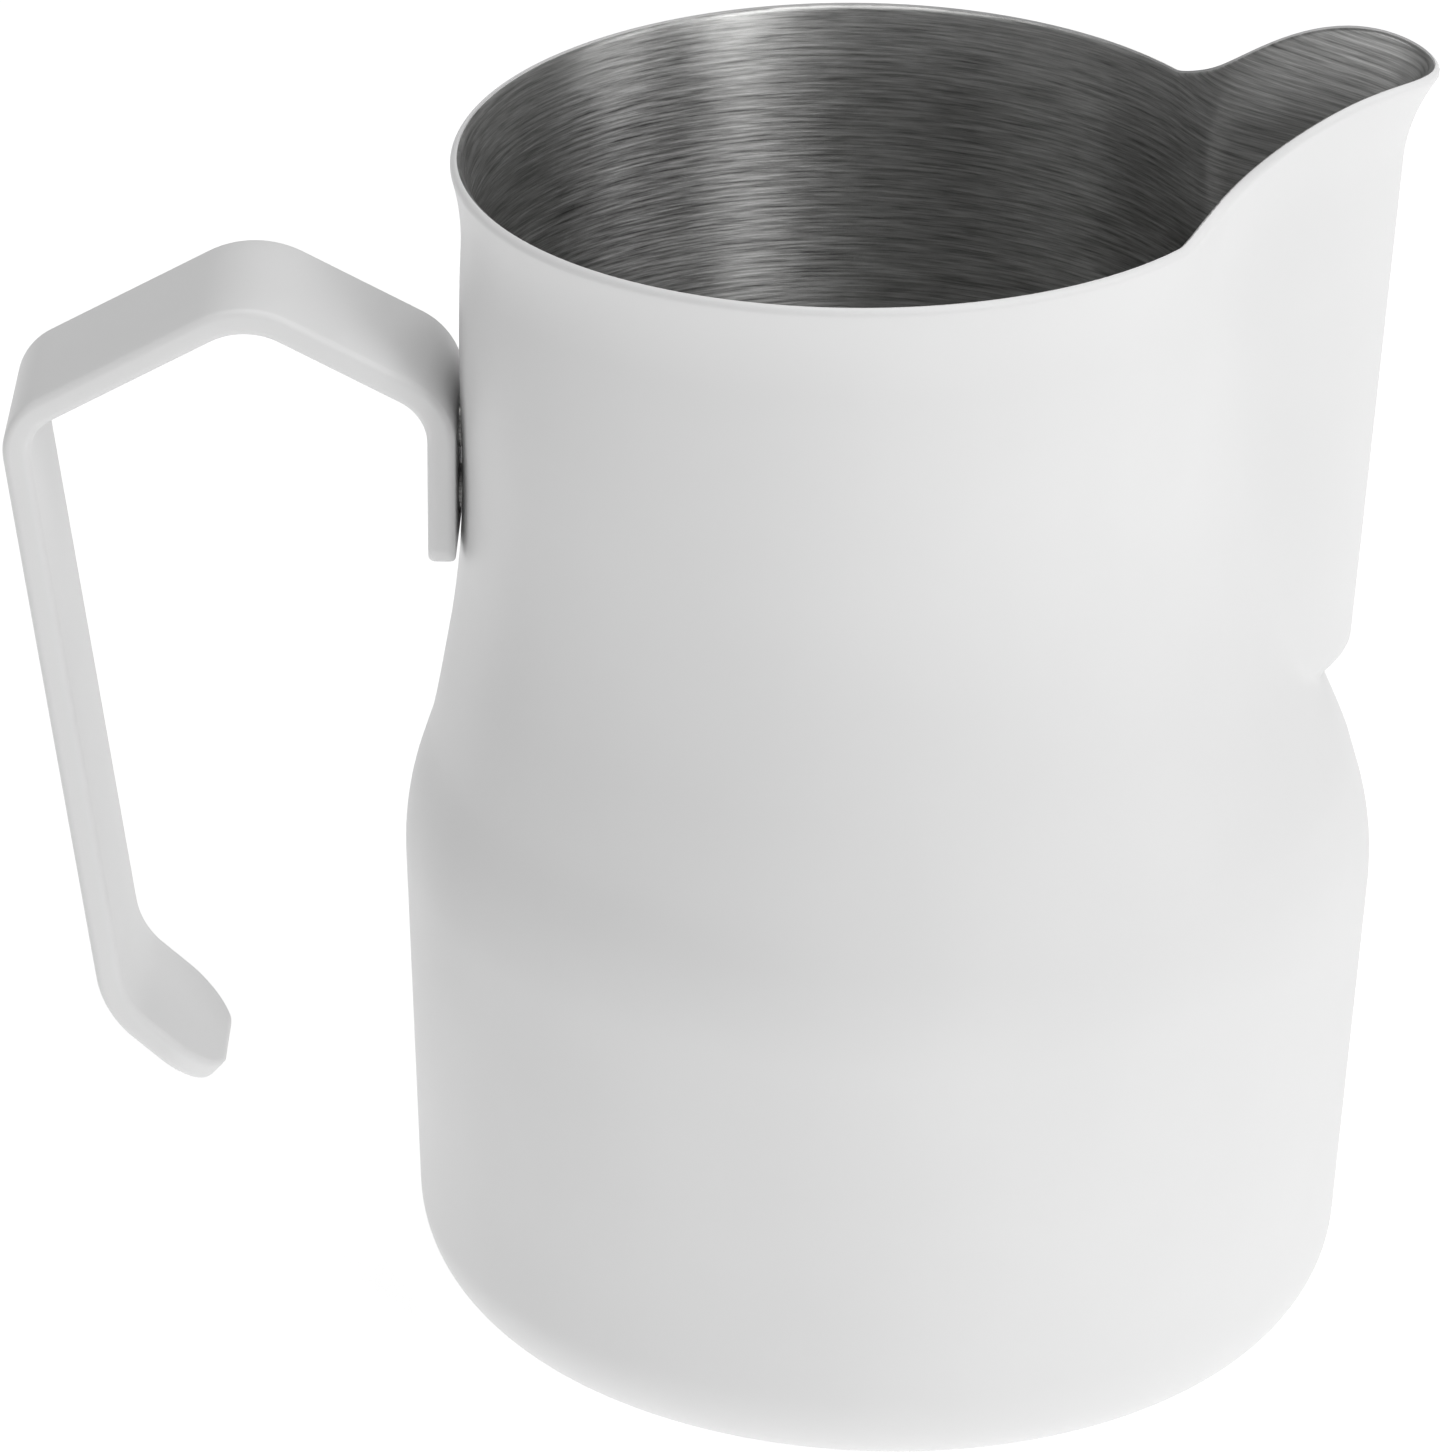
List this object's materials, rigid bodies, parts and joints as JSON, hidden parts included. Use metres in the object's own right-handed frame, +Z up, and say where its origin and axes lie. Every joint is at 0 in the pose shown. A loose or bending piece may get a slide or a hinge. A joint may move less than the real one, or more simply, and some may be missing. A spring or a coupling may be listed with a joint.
{
  "type": "milk frothing pitcher",
  "caption": "Round-bellied steel milk frothing pitcher with a narrower neck, a pressed pouring spout, a white coated outside and an open-ended flat bar handle.",
  "frame": {"origin": "centre of the standing ring, on the axis of the round belly, at the height of the surface that the pitcher stands on", "axes": "+Z up along the belly's axis, +X towards the spout, the handle on -X"},
  "size_m": [0.1266, 0.088, 0.1226],
  "materials": {
    "steel": "brushed round the axis inside, satin underneath",
    "white_coat": "satin white powder coat"
  },
  "bodies": {
    "root": {"body_shell": "steel", "body_coat": "white_coat", "handle_bar": "white_coat", "weld_nuggets": "steel"}
  },
  "joints": []
}
